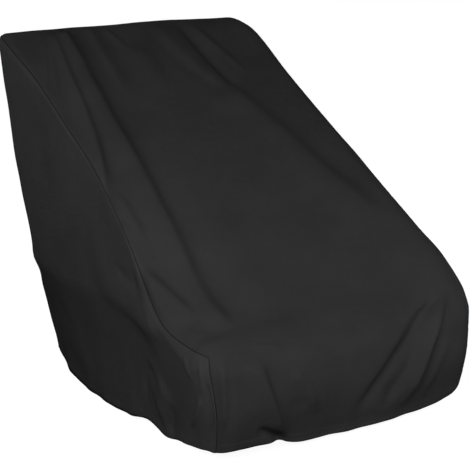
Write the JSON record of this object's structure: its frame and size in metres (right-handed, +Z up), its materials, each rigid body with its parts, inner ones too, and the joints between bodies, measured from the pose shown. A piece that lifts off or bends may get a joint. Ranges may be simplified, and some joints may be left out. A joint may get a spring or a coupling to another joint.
{
  "type": "patio chair cover",
  "caption": "Hollow fitted cover of plain dark woven cloth for a high-backed lounge chair: a sloping main panel between shaped sides, with a soft front ridge and a drawn-in hem, open below.",
  "frame": {"origin": "on the ground plane at the hem's lowest point, under the middle of the bounding box", "axes": "+Z up, the low front faces -Y, the high reclined back is toward +Y, +X is to the right of someone facing the front"},
  "size_m": [0.8124, 1.1288, 0.9212],
  "materials": {
    "main_cloth": "matte plain weave, coated inside",
    "side_cloth": "matte plain weave, coated inside"
  },
  "bodies": {
    "root": {"main_panel": "main_cloth", "side_panel_left": "side_cloth", "side_panel_right": "side_cloth"}
  },
  "joints": []
}
